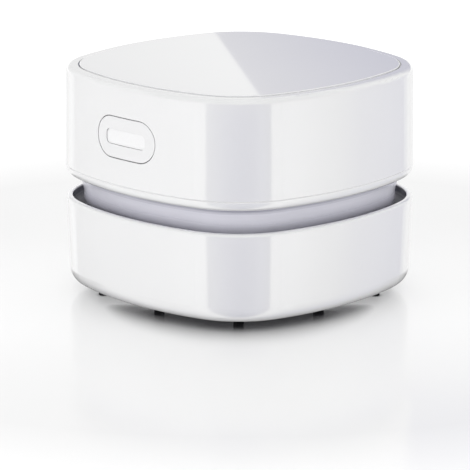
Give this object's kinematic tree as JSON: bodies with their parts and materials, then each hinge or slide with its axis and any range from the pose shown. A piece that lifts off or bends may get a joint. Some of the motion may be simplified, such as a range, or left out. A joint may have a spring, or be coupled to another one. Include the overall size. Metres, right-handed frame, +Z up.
{
  "type": "desktop mini vacuum cleaner",
  "caption": "Rounded-square desktop crumb vacuum: a lift-off motor unit with a pill-shaped push button over a bristled dust cup, with an exhaust slot at the waist.",
  "frame": {"origin": "on the table under the middle of the cleaner", "axes": "+Z up, -Y towards the face with the power button, +Y towards the face with the charging socket"},
  "size_m": [0.082, 0.082, 0.0604],
  "materials": {
    "shell_white": "satin-gloss white moulding",
    "top_gloss": "high-gloss white plate",
    "neck_grey": "satin lavender-grey moulding",
    "button_white": "satin white cap",
    "light_bar": "milky light guide",
    "bristle": "black nylon bristle",
    "inner_white": "fine-textured white moulding",
    "inner_black": "black moulding",
    "filter_cloth": "non-woven filter cloth",
    "black_rubber": "soft rubber",
    "steel": "zinc-plated steel",
    "magnet": "sintered ferrite",
    "laminations": "stacked electrical steel",
    "copper": "copper",
    "bronze": "sintered bronze",
    "cell_wrap": "shrink wrap over a steel can",
    "board_green": "solder mask",
    "lead_insulation": "insulated wire"
  },
  "bodies": {
    "dust_cup": {"lower_shell": "shell_white", "dust_tray": "inner_white", "collar_seal": "black_rubber", "base_plate": "inner_white", "bristle_tufts": "bristle", "base_screws": "steel", "filter_frame": "inner_white", "filter_media": "filter_cloth"},
    "motor_unit": {"upper_shell": "shell_white", "top_plate": "top_gloss", "chassis": "shell_white", "neck": "neck_grey", "fan_cover": "inner_white", "cover_screws": "steel", "shell_screws": "steel", "motor_can": "steel", "motor_end_cap": "inner_black", "motor_magnets": "magnet", "motor_bearings": "bronze", "motor_terminals": "copper", "motor_screws": "steel", "motor_sleeve": "black_rubber", "battery_cell": "cell_wrap", "charge_board": "board_green", "board_screws": "steel", "board_parts": "inner_black", "usb_socket": "steel", "usb_tongue": "inner_black", "button_guide": "inner_white", "switch_board": "board_green", "button_screws": "steel", "tact_switch": "inner_black", "indicator_leds": "light_bar", "button_spring": "steel", "battery_leads": "lead_insulation", "motor_leads": "lead_insulation", "switch_leads": "lead_insulation"},
    "power_button": {"power_button": "button_white", "button_lens": "light_bar", "switch_plunger": "inner_black"},
    "fan_rotor": {"motor_shaft": "steel", "armature": "laminations", "commutator": "copper", "impeller": "inner_black"}
  },
  "joints": [
    {"name": "motor_unit_lift", "type": "slide", "parent": "dust_cup", "child": "motor_unit", "axis": [0, 0, 1], "range_m": [0, 0.055]},
    {"name": "button_press", "type": "slide", "parent": "motor_unit", "child": "power_button", "axis": [0, 1, 0], "range_m": [0, 0.0008], "stiffness_N_per_m": 1500, "springref_m": -0.0005, "deforming": ["button_spring"]},
    {"name": "fan_spin", "type": "hinge", "parent": "motor_unit", "child": "fan_rotor", "pos_m": [0, 0, 0.0264], "axis": [0, 0, 1], "continuous": true}
  ]
}
